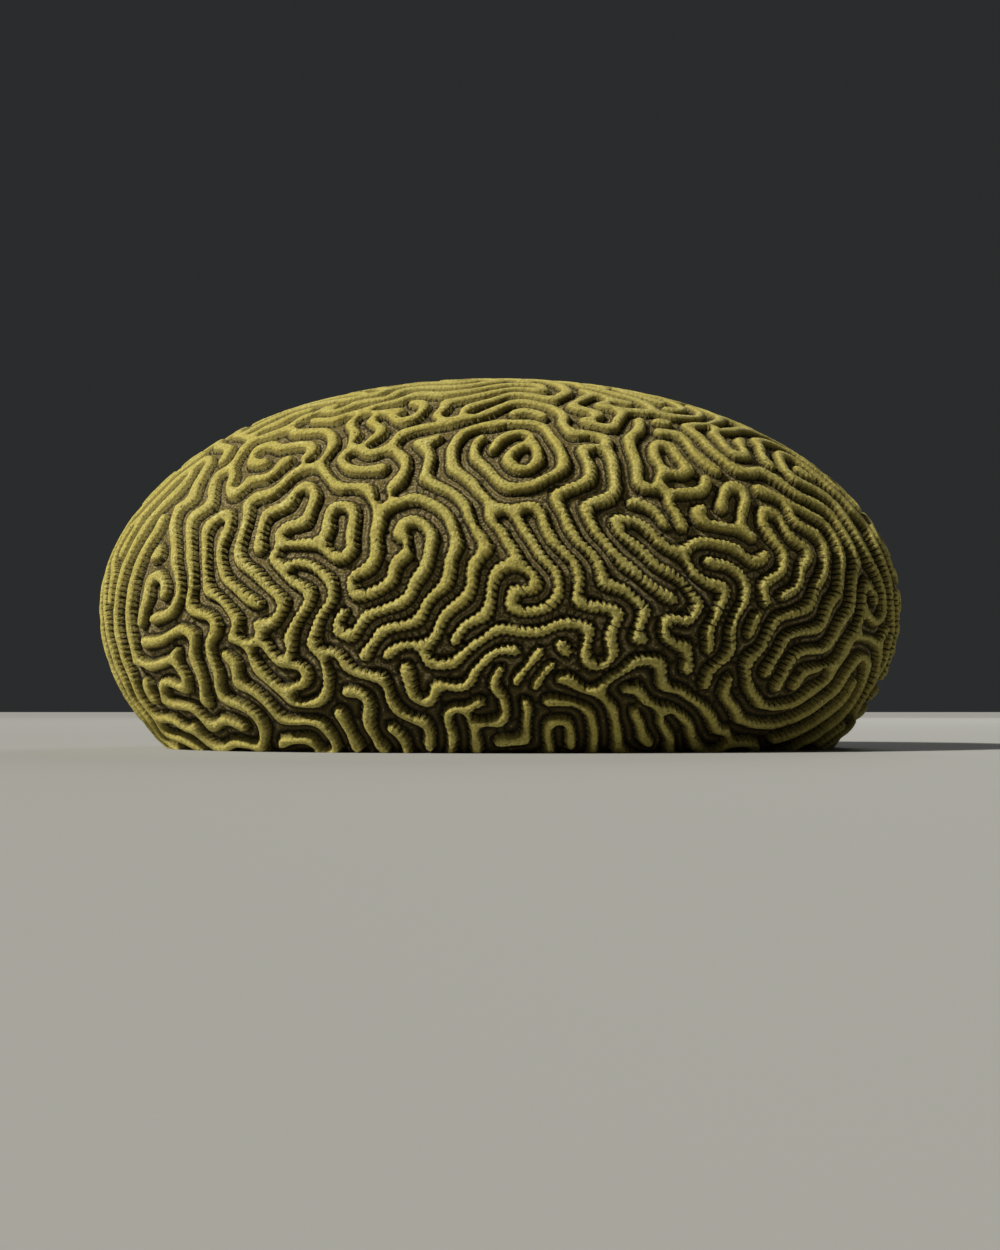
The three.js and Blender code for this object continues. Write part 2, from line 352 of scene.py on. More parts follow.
    ((18.5, 64), (19.5, 61.5), (21.5, 58.5), (24.5, 56), (27.5, 53), (29, 50), (29, 47), (29.5, 44.5),
     (32, 43.5), (35, 44.5), (37, 42), (40, 39.5), (41, 37), (39, 34), (38, 31.5), (38.5, 29.5),
     (41.5, 29)),
    ((33, 60.5), (36, 57.5), (39.5, 55.5), (42.5, 52.5), (44.5, 49.5), (48.5, 49), (51, 46.5), (53, 44),
     (55.5, 41), (56, 38), (54.5, 35.5), (51.5, 35), (48.5, 36)),
    ((31.5, 62.5), (35, 63.5), (39, 63.5), (42, 61), (44, 58), (47, 55), (50, 53.5)),
    ((51, 55), (52.5, 52.5), (53, 49.5), (56, 46.5), (59, 45.5), (63, 45), (64.5, 43), (62.5, 41),
     (61.5, 38), (60, 35), (58, 32), (59, 29), (59, 26)),
    ((53, 56), (56, 57.5), (60, 57.5), (64, 56.5), (66.5, 55), (68.5, 53), (70.5, 51), (73.5, 51.5),
     (75, 53.5)),
    ((57, 52.5), (60, 51), (64, 51), (67, 49.5), (68.5, 47.5), (69.5, 45), (69, 42.5), (68.5, 40),
     (67, 37), (65.5, 35), (65, 32.5), (65, 29.5), (64.5, 26.5), (61, 23), (59, 21), (58, 18),
     (56.5, 15.5)),
    ((46.5, 35.5), (46, 33), (45.5, 30.5)),
    ((48.5, 30), (49, 28), (51, 27.5)),
    ((40, 24.5), (42, 24), (44.5, 23.5), (45.5, 21), (45.5, 18), (45, 15.5), (47.5, 15.5), (50.5, 15.5),
     (52, 14), (54, 12.5), (56.5, 10.5), (58.5, 8), (59.5, 6)),
    ((53, 28), (52.5, 24.5), (52.5, 22)),
    ((37, 23), (36, 21), (33.5, 20), (31.5, 19), (29.5, 18), (27.5, 15.5), (27, 14.5)),
    ((20.5, 16), (23, 15), (26, 14), (28, 13.5), (30, 12), (31, 10), (32, 7.5), (32.5, 4.5), (33, 1.5)),
    ((33.5, 15.5), (36, 16.5), (38, 16.5), (39, 14.5), (40, 12.5), (42.5, 11.5), (44.5, 10.5), (47, 10.5),
     (49.5, 9), (51.5, 7.5), (53, 4.5)),
    ((37.5, 10), (38.5, 8), (39.5, 6)),
    ((44.5, 7.5), (45.5, 5.5), (47.5, 3.5)),
    ((63.5, 18.5), (63, 16)),
    # along the top, from left to right
    ((-70, 88.6), (-66, 90.8), (-62, 92.6), (-58, 94.2), (-54, 95.4), (-50, 96.3), (-46, 96.9),
     (-42, 97.6)),
    ((-65, 87.2), (-62, 88.3), (-59.5, 89.5), (-57, 91), (-54.5, 92.6), (-52.5, 93.2)),
    ((-41, 96.2), (-43, 95), (-46, 94), (-48.5, 93.8), (-50, 94.5), (-48, 95.2), (-45, 95.6)),
    ((-38.5, 96.9), (-35.5, 97.2), (-32.5, 97.4), (-30.3, 98), (-29.5, 99), (-28, 99.9), (-25, 100.5),
     (-21, 100.9), (-16, 101), (-11, 101.1), (-7, 101.4)),
    ((12.5, 100.6), (9, 100.1), (5, 100.6), (2, 100.4), (-1, 99.7), (-4, 98.9), (-8, 98.1), (-11, 97.6),
     (-14, 97.3), (-15.7, 96.3), (-15.8, 94.9), (-17.5, 93.7), (-19.3, 92.9), (-17, 92.2), (-13.5, 92.6),
     (-10.5, 93), (-9.4, 94.2), (-8.5, 95.4), (-6, 96.3), (-3, 97), (0, 98), (3, 99.2), (6, 99.2),
     (9, 98.5), (12, 97.7), (14.5, 97.3), (17, 97.8), (18.3, 98.8), (19.5, 99.7)),
    ((3.5, 93.3), (5.5, 94.4), (8, 94.6), (10.5, 94), (12.5, 92.6)),
    ((23.5, 99.9), (27, 99), (30.5, 97.8), (32.3, 97), (29, 96.6), (27.3, 96), (30, 95.4), (34, 95.2),
     (36, 94.2), (33.5, 92), (32, 90), (28, 90), (23.5, 91.5), (25, 91.9), (27.5, 92.3), (29, 93),
     (28, 93.7), (25.5, 94.4), (22.5, 94.9), (20, 95.4), (19.2, 96), (21.5, 97), (23.5, 98), (25.5, 98.5)),
    ((38.7, 94.2), (42, 93.9), (45, 93.6), (43.3, 95), (41.5, 96.2), (39, 97.2), (36, 98.2), (33, 98.8),
     (31, 99.4)),
    ((42, 97.4), (44.5, 96.9), (46.5, 96.2)),
    ((46, 94.7), (48.5, 94.4), (51, 94.2), (51.5, 95.3), (49.5, 96)),
    ((46.5, 93), (50, 92.7), (53, 92.2), (55.5, 92), (56.8, 93), (55.5, 94)),
    ((53.5, 90.3), (57, 90.3), (60, 90.8), (61.8, 91.3)),
    ((59, 88.3), (61, 89), (63.5, 89), (66, 89.4), (69, 88.8)),
    # on the right shoulder
    ((38.5, 92), (39, 89.5), (36.5, 87), (37, 84), (38.5, 80.5), (38.5, 76.5), (39.5, 73.5), (42, 71.5),
     (44.5, 73), (45, 76), (48, 77), (52, 76.5), (54, 77.5)),
    ((45, 79.5), (43.5, 81.5), (43.5, 84), (45.5, 85.5), (48.5, 84.5), (50, 81.5), (51.5, 79.5),
     (53, 78.5)),
    ((47, 88), (49.5, 88), (52.5, 86.5), (53.5, 84.5), (55, 82), (57, 80.5), (59, 79)),
    ((52, 90.5), (55.5, 87.5), (57.5, 85), (60, 83), (63, 80.5), (67, 77.5), (70, 77), (73.5, 77.5),
     (75.5, 76.5)),
    ((61, 87.5), (62.5, 85.5), (64, 83.5)),
    ((47, 72.5), (47, 69.5), (47.5, 67), (49, 65.5), (50.5, 63.5), (52, 61)),
    ((49.5, 71.5), (53, 71.5), (57, 71), (58.5, 73), (57.5, 75.5)),
    ((62.5, 66.5), (62, 69), (63, 71.5), (64.5, 73), (67.5, 72.5), (69, 70.5), (69, 68), (68, 65.5)),
    ((55, 65), (55.5, 67), (58, 67)),
    ((56.5, 62), (59, 62.5), (61.5, 61.5), (64.5, 60.5)),
    ((37, 68), (39, 68.5), (41.5, 67.5), (44, 66), (45.5, 64), (47, 61.5)),
    # on the right flank
    ((73, 84.5), (73.5, 82), (75.5, 79.5), (77, 78.5)),
    ((78.5, 82), (79, 78.5), (81, 77)),
    ((84, 79.5), (90, 75), (96.5, 69), (102.5, 62), (106.5, 54), (109, 46), (109.5, 39), (109.5, 32),
     (107.5, 24), (103.5, 16)),
    ((84.5, 74.5), (87, 73), (89.5, 71.5), (94, 67.5), (99, 61), (102.5, 54.5), (105.3, 48), (107, 43),
     (107.3, 38), (107, 35.5), (105.5, 34.4), (103.8, 34.8), (103, 36.5), (103, 39)),
    ((81, 72), (84.5, 69.5), (87.5, 68.5), (90.5, 67), (93, 65.5), (94.5, 62.5), (98, 57), (100, 51.5),
     (99.2, 47), (98.9, 43), (98.8, 39), (97.8, 36.3), (96, 35.3), (94.8, 32.5), (93.3, 29.8), (92, 28.8)),
    ((105, 38.7), (105, 41.5), (104.2, 44.6), (102.8, 45.8), (101.6, 44), (101.3, 40.5), (101.2, 36.5),
     (100.6, 33), (98, 31.2), (96.4, 29.2), (95.4, 26.5), (94.2, 24), (92, 22.6), (89, 21.7), (86, 21.5),
     (84, 20.5), (83, 17.5), (81.5, 15)),
    ((108.2, 33), (107, 30.6), (105.3, 28.4), (103.5, 29.6), (101.5, 30.3), (99.5, 29), (97.7, 27),
     (96.2, 24.5), (94, 21.8), (91.7, 19), (89.3, 16.5), (86, 14), (83, 12.2), (79.5, 10.8), (76, 10)),
    ((105.6, 28), (106.3, 25.5), (105.5, 21.5), (103.5, 17), (101, 12.5)),
    ((99.3, 22.3), (99, 24.5), (100.6, 26.3), (102.3, 25), (102.6, 22.5), (101.6, 19.5), (100.3, 16),
     (98, 12), (95, 8), (91.5, 5), (87, 2)),
    ((97.3, 21), (96, 18), (93.5, 15), (90, 12.3), (86, 9.3), (82, 7), (77, 6), (72, 6)),
    ((98.8, 18.5), (97.6, 15), (94.8, 11.6), (91, 8.8), (87, 6), (82.5, 3.7), (78, 2)),
    ((73, 72), (76, 70), (79, 69.5), (82, 68), (84.5, 66.5), (87.5, 65), (90.5, 63.5), (92.5, 61),
     (95, 58), (96, 53.5), (95.5, 49), (95.5, 45.5), (95, 42.5), (93, 41), (91.5, 39.5), (91.5, 36.5),
     (91, 35)),
    ((73.5, 64.5), (74, 66.5), (77, 66), (79, 64), (79.5, 61.5), (81.5, 59), (84, 57), (87.5, 55),
     (87.5, 53), (84.5, 50.5), (84.5, 46.5), (83.5, 44), (81, 43), (78, 41.5)),
    ((80, 66.5), (81.5, 65), (83, 62.5), (85, 61), (88, 60.5), (90, 58), (91, 55), (91, 51.5), (90.5, 47),
     (88, 44.5), (88, 41), (86.5, 39), (84, 37.5), (81, 36.5)),
    ((73, 63), (75.5, 61), (77, 58), (79, 55), (80, 52), (79.5, 49), (77.5, 47.5), (74.5, 46.5),
     (73.5, 44.5), (74, 42), (75, 40)),
    ((72.5, 36.5), (70.5, 35), (70.5, 32), (70, 30.5)),
    ((77.5, 35), (76.5, 33.5), (74.5, 30.5), (74, 28)),
    ((90, 32.5), (86.5, 32), (83, 31.5), (80, 31), (79, 29.5), (79.5, 27.5), (77.5, 25.5), (76.5, 23.5),
     (75.5, 21.5)),
    ((91.5, 26.5), (88, 26.5)),
    ((83, 26.5), (81.5, 24.5), (80, 21.5), (78.5, 18.5), (77, 15.5)),
)


# --- Sizes and colours that a user may change ---


def length_setting(name, description, millimetres):
    return FloatProperty(
        name=name,
        description=description,
        default=millimetres * MM,
        subtype="DISTANCE",
        unit="LENGTH",
    )


def share_setting(name, description, default):
    return FloatProperty(
        name=name,
        description=description,
        default=default,
        subtype="FACTOR",
        min=0.3,
        max=0.8,
    )


def colour_setting(name, description, default):
    return FloatVectorProperty(
        name=name,
        description=description,
        default=default,
        subtype="COLOR",
        min=0.0,
        max=1.0,
    )


class ColonySizes(bpy.types.PropertyGroup):
    """Sizes of the ridges, valleys and septa"""

    ridge_spacing: length_setting("Ridge Spacing", "From one ridge's crest to the next", 6.15)
    ridge_share: share_setting(
        "Ridge Share",
        "Share of the surface that is ridge where the colony is smoothest, the rest being valley",
        0.62,
    )
    rugged_share: share_setting(
        "Rugged Ridge Share",
        "The same share where the colony is most rugged",
        0.43,
    )
    valley_depth: length_setting(
        "Valley Depth",
        "From the crests down to the valley floor where the colony is smoothest",
        1.5,
    )
    valley_range: length_setting(
        "Valley Range",
        "How much deeper the valleys are where the colony is most rugged",
        0.8,
    )
    crevice_depth: length_setting(
        "Crevice Depth",
        "From the valley floor down to the crevice at the foot of a ridge",
        0.4,
    )
    septum_spacing: length_setting("Septum Spacing", "From one septum to the next along a ridge", 1.54)
    seed: IntProperty(
        name="Seed",
        description="Chooses how the ridges wander where they aren't drawn",
        default=7,
    )


class ColonyColours(bpy.types.PropertyGroup):
    """Colours of the skeleton, with the painted shade of its crevices and the painted highlight of its septa
    """

    crest: colour_setting("Crest", "Colour along the tops of the ridges", (0.59, 0.517, 0.142))
    # The septa colour is a painted highlight, laid on the edges of the proud septa.
    septa: colour_setting("Septa", "Colour of the edges of the septa", (0.74, 0.67, 0.27))
    # The flank colour is the ridges' darker own tone and also painted shade: the sides of the ridges darken
    # to it from the crest.
    flank: colour_setting("Flank", "Colour of the sides of the ridges", (0.28, 0.23, 0.056))
    valley: colour_setting("Valley", "Colour of the valley floors", (0.215, 0.163, 0.044))
    speck: colour_setting("Speck", "Colour of the specks on the valley floors", (0.42, 0.35, 0.19))
    # The crevice colour is painted shade: near black, laid along the feet of the ridges, in the slits, in the
    # pores and in the valleys' pitting.
    crevice: colour_setting("Crevice", "Colour deep along the foot of a ridge", (0.014, 0.010, 0.003))
    cut: colour_setting("Cut Face", "Colour of the bare skeleton underneath", (0.50, 0.45, 0.30))


class StageLook(bpy.types.PropertyGroup):
    """The floor and the light"""

    floor_colour: colour_setting("Floor", "Colour of the floor", (0.38, 0.38, 0.36))
    key_strength: FloatProperty(
        name="Key Strength",
        description="Strength of the main light",
        default=4.1,
    )
    rear_power: FloatProperty(
        name="Rear Power",
        description="Power of the light behind",
        default=7.0,
        unit="POWER",
    )
    fill_strength: FloatProperty(
        name="Fill Strength",
        description="Strength of the light all round",
        default=0.03,
    )


# --- The colony's envelope ---


def unit(vectors):
    return vectors / np.linalg.norm(vectors, axis=-1, keepdims=True)


def reach_along(upward):
    """The ellipsoid's three half sizes, for directions that point up or down."""
    upright = np.where(upward >= 0, RISE_ABOVE, DROP_BELOW)
    return np.stack([np.full(len(upward), HALF_LENGTH), np.full(len(upward), HALF_DEPTH), upright], 1)


def envelope(directions):
    """The points of the envelope in these unit directions, which are stretched with the ellipsoid."""
    share = np.zeros(len(directions))
    for towards, spread, height in SWELLS:
        away = np.linalg.norm(directions - unit(np.array(towards)), axis=1) / spread
        share += height / HALF_DEPTH * np.exp(-0.5 * away**2)
    return directions * reach_along(directions[:, 2]) * (1 + share)[:, None] + MIDDLE


def directions_of(points):
    """The unit directions whose envelope points lie straight out from, or in from, these points."""
    out = points - MIDDLE
    return unit(out / reach_along(out[:, 2]))


def onto_envelope(points):
    return envelope(directions_of(points))


def outward(points):
    """Unit normals of the envelope at these points."""
    out = points - MIDDLE
    return unit(out / reach_along(out[:, 2]) ** 2)


# --- The wave that becomes the ridges ---


def numbers_of(items, name, kind, width):
    found = np.empty(len(items) * width, kind)
    items.foreach_get(name, found)
    return found.reshape(-1, width)


def sphere_of_directions():
    """Unit directions spread evenly all round, and the triangles that join them."""
    bm = bmesh.new()
    bmesh.ops.create_icosphere(bm, subdivisions=SPHERE_FINENESS, radius=1.0)
    sphere = bpy.data.meshes.new("directions")
    bm.to_mesh(sphere)
    bm.free()
    directions = numbers_of(sphere.vertices, "co", np.float32, 3).astype(float)
    triangles = numbers_of(sphere.polygons, "vertices", np.int32, 3).astype(np.int64)
    bpy.data.meshes.remove(sphere)
    return unit(directions), triangles


class Net:
    """The envelope as a net of triangles that a value can spread over evenly, whatever their shape."""

    def __init__(self):
        directions, self.triangles = sphere_of_directions()
        self.points = envelope(directions)
        starts, ends, flows = [], [], []
        self.area = np.zeros(len(self.points))
        for corner in range(3):
            here, first, second = (self.triangles[:, (corner + k) % 3] for k in range(3))
            to_first = self.points[first] - self.points[here]
            to_second = self.points[second] - self.points[here]
            twice_area = np.linalg.norm(np.cross(to_first, to_second), axis=1)
            flows.append(0.5 * (to_first * to_second).sum(1) / twice_area)
            starts.append(np.minimum(first, second))
            ends.append(np.maximum(first, second))
            self.area += np.bincount(here, twice_area / 6, len(self.points))
        pair = np.concatenate(starts) * len(self.points) + np.concatenate(ends)
        pairs, which = np.unique(pair, return_inverse=True)
        self.start, self.end = np.divmod(pairs, len(self.points))
        self.flow = np.bincount(which, np.concatenate(flows))

    def spread(self, values, square_mm):
        """Blurs values evenly, by a bell curve whose width squared is square_mm."""
        for _ in range(round(square_mm / (2 * SPREAD_STEP))):
            passed = self.flow * (values[self.end] - values[self.start])
            gained = np.bincount(self.start, passed, len(values)) - np.bincount(self.end, passed, len(values))
            values = values + SPREAD_STEP * gained / self.area
        return values


def evenly_along(line, step):
    """Points about one step apart along a line."""
    line = np.array(line, float)
    far = np.concatenate([[0], np.cumsum(np.linalg.norm(np.diff(line, axis=0), axis=1))])
    wanted = np.linspace(0, far[-1], 2 + int(far[-1] / step))
    return np.stack([np.interp(wanted, far, line[:, axis]) for axis in range(line.shape[1])], 1)


def seen_from_front(places):
    """The envelope's points that the eye sees at these places on the upright plane through the middle."""
    beyond = np.stack([places[:, 0], np.zeros(len(places)), places[:, 1]], 1)
    way = (beyond - EYE) / np.linalg.norm(beyond - EYE, axis=1, keepdims=True)
    near = EYE + way * (-EYE[1] - SIGHT_FROM)
    walked = np.zeros(len(places))
    for _ in range(SIGHT_STEPS):
        here = near + way * walked[:, None]
        gap = np.linalg.norm(here - MIDDLE, axis=1) - np.linalg.norm(onto_envelope(here) - MIDDLE, axis=1)
        walked += np.maximum(0.5 * gap, 0)
    return here[gap < SIGHT_NEAR]


def drawn_pull(net, spacing):
    """For each point of the net: 1 on a drawn ridge, -1 midway to the next one, and 0 away from both."""
    ridges = [seen_from_front(evenly_along(ridge, DRAWN_STEP)) for ridge in DRAWN_RIDGES]
    ways = np.vstack([unit(np.gradient(ridge, axis=0)) for ridge in ridges])
    marks = np.concatenate([RIDGE_MARK * i + np.arange(len(ridge)) for i, ridge in enumerate(ridges)])
    places = np.vstack(ridges)
    tree = tree_of(places)
    pull = np.zeros(len(net.points))
    for i in np.flatnonzero(net.points[:, 1] < DRAWN_BACK):
        point = net.points[i]
        _, nearest, away = tree.find(point)
        if away > PULL_REACH * spacing:
            continue
        near = tree.find_range(point, NEXT_REACH * spacing)
        across = [far for _, j, far in near if abs(marks[j] - marks[nearest]) > FOLD_STEPS]
        pitch = min(spacing, max(away + min(across, default=spacing), LEAST_PITCH * spacing))
        past_end = abs((point - places[nearest]) @ ways[nearest])
        pull[i] = math.cos(math.tau * min(away / pitch, PULL_REACH)) * max(0.0, 1 - past_end / END_FADE)
    return pull


def mixed_waves(points, lengths, rng):
    """Smooth values of about -1 to 1: a sum of plane waves of these shortest and longest lengths."""
    total = np.zeros(len(points))
    for _ in range(WANDER_WAVES):
        length = rng.uniform(*lengths)
        along = points @ unit(rng.normal(size=3))
        total += length / lengths[1] * np.sin(math.tau * along / length + rng.uniform(0, math.tau))
    return total / math.sqrt(WANDER_WAVES)


def wandering(points, rng):
    """A distance in millimetres whose level lines wander over the dome."""
    bends = np.stack([mixed_waves(points, BEND_LENGTHS, rng) for _ in range(3)], 1)
    return WANDER_SLOPE * WANDER_LENGTHS[1] * mixed_waves(points + BEND * bends, WANDER_LENGTHS, rng)


def grown_wave(net, spacing, seed):
    """A value for each point of the net, high on ridges and low in valleys, that repeats at each spacing."""
    rng = np.random.default_rng(seed)
    narrow = (spacing / SPACING_PER_SPREAD) ** 2
    pull = drawn_pull(net, spacing)
    free = FREE_HEIGHT * np.cos(math.tau / spacing * wandering(net.points, rng))
    free += rng.normal(0, FREE_NOISE, len(free))
    wave = np.where(pull == 0, free, pull)
    for turn in range(GROWTH_ROUNDS):
        near = net.spread(wave, narrow)
        far = net.spread(near, WIDER_BLUR * narrow)
        drawn = DRAWN_PULL * pull if turn < GROWTH_ROUNDS - FREE_ROUNDS else 0
        wave = np.tanh(GROWTH_GAIN * (near - far) + drawn)
    return net.spread(wave, LAST_BLUR * narrow)


# --- Outlines of the ridges ---


def crossings(net, values):
    """Where values change sign on the net's edges, and which crossing follows, the high side on its left."""
    high = values > 0
    highs = high[net.triangles].sum(1)
    triangles = net.triangles[(highs == 1) | (highs == 2)]
    odd_is_high = high[triangles].sum(1) == 1
    odd = np.argmax(high[triangles] == odd_is_high[:, None], axis=1)
    row = np.arange(len(triangles))
    lone, after, before = (triangles[row, (odd + k) % 3] for k in range(3))
    size = len(values)
    to_after = np.minimum(lone, after) * size + np.maximum(lone, after)
    to_before = np.minimum(lone, before) * size + np.maximum(lone, before)
    edges, place = np.unique(np.concatenate([to_after, to_before]), return_inverse=True)
    enters, leaves = place[: len(row)], place[len(row) :]
    following = np.empty(len(edges), np.int64)
    following[np.where(odd_is_high, enters, leaves)] = np.where(odd_is_high, leaves, enters)
    start, end = np.divmod(edges, size)
    along = (values[start] / (values[start] - values[end]))[:, None]
    return net.points[start] * (1 - along) + net.points[end] * along, following


def loops_of(following):
    """The closed rounds that the crossings make."""
    waiting = np.ones(len(following), bool)
    loops = []
    for first in range(len(following)):
        if not waiting[first]:
            continue
        loop, here = [], first
        while waiting[here]:
            waiting[here] = False
            loop.append(here)
            here = following[here]
        loops.append(np.array(loop))
    return loops


def eased(values, times):
    """A closed round of values, each moved towards its two neighbours."""
    for _ in range(times):
        values = 0.5 * values + 0.25 * (np.roll(values, 1, 0) + np.roll(values, -1, 0))
    return values


def in_columns(loop, step):
    """A closed loop laid out as fours of points one step apart, or nothing if it is too short."""
    loop = eased(loop, OUTLINE_EASING)
    closed = np.vstack([loop, loop[:1]])
    far = np.concatenate([[0], np.cumsum(np.linalg.norm(np.diff(closed, axis=0), axis=1))])
    if far[-1] < SHORTEST_OUTLINE:
        return None
    count = 4 * round(far[-1] / (4 * step))
    wanted = np.arange(count) * far[-1] / count
    return np.stack([np.interp(wanted, far, closed[:, axis]) for axis in range(3)], 1)


class Outlines:
    """The ridges' outlines: their points, their sides, and how far the middles of ridge and valley lie."""

    def __init__(self, net, values, step):
        points, following = crossings(net, values)
        loops = [in_columns(points[loop], step) for loop in loops_of(following)]
        self.loops = [onto_envelope(loop) for loop in loops if loop is not None]
        self.points = np.vstack(self.loops)
        forward = np.vstack([np.roll(loop, -1, 0) - np.roll(loop, 1, 0) for loop in self.loops])
        self.forward = unit(forward)
        self.inward = unit(np.cross(outward(self.points), forward))
        self.column = np.concatenate([np.arange(len(loop)) for loop in self.loops])
        self.to_crest, self.to_valley = (self.along_loops(width) for width in self.half_widths())

    def along_loops(self, values):
        """Values eased along each loop."""
        ends = np.cumsum([len(loop) for loop in self.loops])[:-1]
        return np.concatenate([eased(part, WIDTH_EASING) for part in np.split(values, ends)])

    def half_widths(self):
        """For each point, the radii of the largest discs that touch it in the ridge and in the valley."""
        tree = tree_of(self.points)
        found = np.full((2, len(self.points)), WIDEST_HALF)
        for i, (point, side) in enumerate(zip(self.points, self.inward)):
            near = [j for _, j, _ in tree.find_range(point, 2 * WIDEST_HALF)]
            apart = self.points[near] - point
            squared = (apart**2).sum(1)
            lean = 2 * apart @ side
            for way, sign in enumerate((1, -1)):
                facing = (sign * lean > 2 * FACING) & (squared > OWN_REACH**2)
                if facing.any():
                    found[way, i] = min(WIDEST_HALF, (squared[facing] / (sign * lean[facing])).min())
        return found


def tree_of(points):
    tree = KDTree(len(points))
    for i, point in enumerate(points):
        tree.insert(point, i)
    tree.balance()
    return tree


def thinned(points, spacing):
    """Which points stay, when each one kept clears those after it from around it."""
    tree = tree_of(points)
    stays = np.ones(len(points), bool)
    for i, point in enumerate(points):
        if stays[i]:
            for _, j, _ in tree.find_range(point, spacing):
                stays[j] = j <= i and stays[j]
    return stays


def clear_of(points, others, spacing):
    """Which points have none of the others within this spacing."""
    tree = tree_of(others)
    return np.array([tree.find(point)[2] > spacing for point in points])


def spaced(points, others, gaps):
    """The points that keep the first gap from one another and the second from the others."""
    points = points[thinned(points, gaps[0])]
    return points[clear_of(points, others, gaps[1])]


# --- Rows of points across the ridges ---


class Rows:
    """Points of the skin, each with how deep it lies, how far up the ridge and how much of a septum it is."""

    def __init__(self):
        self.parts = []

    def add(self, points, depth, rise, septum):
        """Rise is 1 on the crest, 0 in a crevice and less in a valley. A septum is 1, a deep slit -1."""
        count = len(points)
        columns = [np.broadcast_to(np.asarray(value, float), (count,)) for value in (depth, rise, septum)]
        self.parts.append(np.column_stack([onto_envelope(points), *columns]))

    def skin(self):
        """The sunk points, their rise and septum, and the same points before they were sunk."""
        table = np.vstack(self.parts)
        table = table[table[:, 2] > -BELOW_CUT]
        points, depth = table[:, :3], table[:, 3]
        return points - outward(points) * depth[:, None], table[:, 4], table[:, 5], points


def section_depth(share, height):
    """How far below the crest the section of a ridge this high lies, at a share of the way from its foot."""
    return height * (1 - (1 - (1 - share) ** ROUNDNESS) ** (1 / ROUNDNESS))


def ruggedness(points, seed):
    """From 0, wide ridges and shallow valleys, high up, to 1, narrow ridges and deep valleys, low down."""
    down = 1 - points[:, 2] / (WIDEST_HEIGHT + RISE_ABOVE)
    patches = mixed_waves(points, RUGGED_LENGTHS, np.random.default_rng(seed))
    rugged = RUGGED_LOW * down + RUGGED_RIGHT * points[:, 0] / HALF_LENGTH + RUGGED_PATCHES * patches
    return np.clip(rugged, 0, 1)


def valley_depths(points, sizes):
    """How deep the valley floor lies near each point."""
    return (sizes.valley_depth + sizes.valley_range * ruggedness(points, sizes.seed)) / MM


class Columns:
    """The columns of points that cross a ridge: each second one is a septum, and those between are slits."""

    def __init__(self, outlines, sizes, rng):
        self.outlines = outlines
        count = len(outlines.points)
        self.is_septum = outlines.column % 2 == 0
        self.height = valley_depths(outlines.points, sizes) + sizes.crevice_depth / MM
        strength = self.slit_strength(rng)
        self.stand = np.where(self.is_septum, rng.uniform(*STAND_RANGE, count) * strength, 0.0)
        self.bite = np.where(self.is_septum, 0.0, rng.uniform(*BITE_RANGE, count) * strength)
        self.edge = PLAIN_EDGE + (1 - PLAIN_EDGE) * strength
        self.sway = rng.normal(0, SWAY, count)
        self.uneven = outlines.along_loops(rng.normal(0, UNEVEN, count))
        self.lean = SLIT_LEAN * (outlines.inward @ LEAN_TOWARDS) * (outlines.forward @ LEAN_TOWARDS)

    def slit_strength(self, rng):
        """From 0 to 1: strongest at the widest level, on the right, and on the sides that face one way."""
        points = self.outlines.points
        off_level = np.abs(points[:, 2] - WIDEST_HEIGHT) / RISE_ABOVE
        strength = SLIT_BASE - off_level + SLIT_RIGHT * points[:, 0] / HALF_LENGTH
        strength -= SLIT_SIDE * self.outlines.inward @ STRONG_SIDE
        return np.clip(strength + SLIT_PATCHES * mixed_waves(points, SLIT_LENGTHS, rng), LEAST_SLIT, 1)

    def at(self, share, shift=0.0):
        """The columns' points at a share of the way from foot to crest, shifted so many millimetres on."""
        across = self.outlines.to_crest * share + self.uneven * (1 - share) + shift
        along = self.sway + self.lean * across
        moved = self.outlines.inward * across[:, None] + self.outlines.forward * along[:, None]
        return self.outlines.points + moved


def lay_foot(rows, columns):
    slits = ~columns.is_septum
    foot = columns.at(0.0, FOOT_CUT * columns.bite)[slits]
    rows.add(foot, columns.height[slits], 0.0, -columns.bite[slits])
    return foot


def lay_shoulder(rows, columns, step):
    bite, stand = columns.bite, columns.stand
    shoulder = columns.at(SHOULDER_SHARE, SHOULDER_CUT * bite - SEPTUM_OUT * stand)
    stays = thinned(shoulder, SIDE_GAP * step)
    depth = section_depth(SHOULDER_SHARE, columns.height) + SLIT_DEPTH * bite - SEPTUM_UP * stand
    rise = SHOULDER_RISE - SHOULDER_SLIT_SHADE * bite
    septum = np.where(columns.is_septum, columns.edge, -bite)
    rows.add(shoulder[stays], depth[stays], rise[stays], septum[stays])
    return shoulder[stays]


def lay_upper_side(rows, columns, shoulder, step):
    """Only the longest slits reach up here, and they are shallower than on the shoulder."""
    upper = columns.at(UPPER_SHARE)
    stays = thinned(upper, SIDE_GAP * step) & clear_of(upper, shoulder, UPPER_GAP)
    reach = np.clip(REACH_GAIN * (columns.bite - REACH_FROM), 0, REACH_MOST)
    depth = section_depth(UPPER_SHARE, columns.height) + UPPER_SLIT * SLIT_DEPTH * reach
    depth -= UPPER_STAND * SEPTUM_UP * columns.stand
    rise = UPPER_RISE - UPPER_SLIT_SHADE * reach
    septum = np.where(columns.is_septum, columns.edge, BETWEEN_SEPTA - (1 + BETWEEN_SEPTA) * reach)
    rows.add(upper[stays], depth[stays], rise[stays], septum[stays])
    return upper[stays]


def lay_crests(rows, columns, sides, rng):
    crest = spaced(columns.at(1.0), sides, CREST_GAPS)
    rows.add(crest, rng.uniform(0, CREST_UNEVEN, len(crest)), 1.0, rng.uniform(0.0, 1.0, len(crest)))


